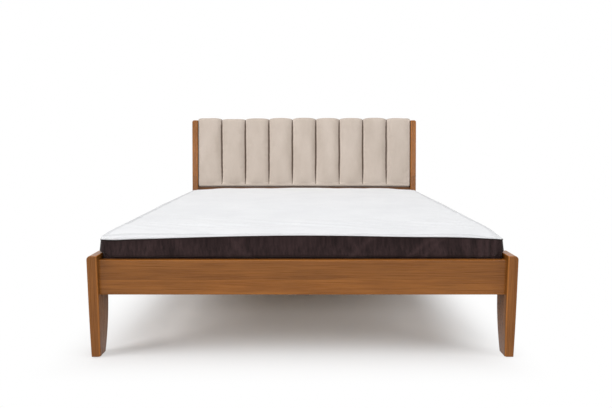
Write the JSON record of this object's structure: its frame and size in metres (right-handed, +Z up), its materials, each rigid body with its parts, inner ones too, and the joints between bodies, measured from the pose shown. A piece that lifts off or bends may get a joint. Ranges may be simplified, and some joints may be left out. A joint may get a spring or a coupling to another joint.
{
  "type": "double bed",
  "caption": "Wooden double bed with sabre legs, a leaning headboard of upright upholstered channels, a slatted base with a levelling centre foot, and a mattress.",
  "frame": {"origin": "on the floor under the middle of the whole bed", "axes": "+Z up from the floor, +Y from the foot end towards the headboard, +X to the right seen from the foot end"},
  "size_m": [1.68, 2.1799, 1.0029],
  "materials": {
    "stained_wood": "semi-gloss",
    "plain_wood": "matte",
    "board": "matte",
    "upholstery": "soft sheen",
    "backing_cloth": "matte",
    "mattress_ticking": "matte",
    "mattress_side": "matte",
    "mattress_edging": "satin",
    "mattress_filling": "matte",
    "zinc_steel": "satin",
    "dark_steel": "satin",
    "dark_plastic": "matte"
  },
  "bodies": {
    "bed_frame": {"front_leg_right": "stained_wood", "front_leg_left": "stained_wood", "headboard_post_right": "stained_wood", "headboard_post_left": "stained_wood", "foot_rail": "stained_wood", "head_rail": "stained_wood", "side_rail_right": "stained_wood", "side_rail_left": "stained_wood", "rail_socket_plates": "zinc_steel", "rail_hook_plates": "zinc_steel", "glide_front_right": "dark_plastic", "glide_front_left": "dark_plastic", "glide_rear_right": "dark_plastic", "glide_rear_left": "dark_plastic", "slat_ledge_right": "plain_wood", "slat_ledge_left": "plain_wood", "center_beam": "plain_wood", "beam_shoe_foot": "dark_steel", "beam_shoe_head": "dark_steel", "center_leg": "stained_wood", "center_leg_bolt": "zinc_steel", "center_leg_insert": "zinc_steel", "slat_01": "plain_wood", "slat_02": "plain_wood", "slat_03": "plain_wood", "slat_04": "plain_wood", "slat_05": "plain_wood", "slat_06": "plain_wood", "slat_07": "plain_wood", "slat_08": "plain_wood", "slat_09": "plain_wood", "slat_10": "plain_wood", "slat_11": "plain_wood", "slat_12": "plain_wood", "slat_13": "plain_wood", "slat_14": "plain_wood", "panel_lower_rail": "stained_wood", "panel_upper_rail": "stained_wood", "panel_board": "board", "panel_back_cover": "backing_cloth", "headboard_cushion": "upholstery"},
    "mattress": {"mattress_bottom_panel": "mattress_ticking", "mattress_tape_lower": "mattress_edging", "mattress_border": "mattress_side", "mattress_core": "mattress_filling", "mattress_tape_upper": "mattress_edging", "mattress_top": "mattress_ticking"},
    "foot_pad": {"foot_pad": "dark_plastic"},
    "foot_screw": {"foot_screw": "zinc_steel"}
  },
  "joints": [
    {"name": "mattress_lift", "type": "slide", "parent": "bed_frame", "child": "mattress", "axis": [0, 0, 1], "range_m": [0, 0.75]},
    {"name": "foot_pad_slide", "type": "slide", "parent": "bed_frame", "child": "foot_pad", "axis": [0, 0, -1], "range_m": [0, 0.012]},
    {"name": "foot_screw_turn", "type": "hinge", "parent": "foot_pad", "child": "foot_screw", "pos_m": [0, -0.028, 0.01], "axis": [0, 0, -1], "range_deg": [0, 3456]}
  ],
  "couplings": [
    {"joint": "foot_pad_slide", "follows": "foot_screw_turn", "m_per_rad": 0.00019894}
  ]
}
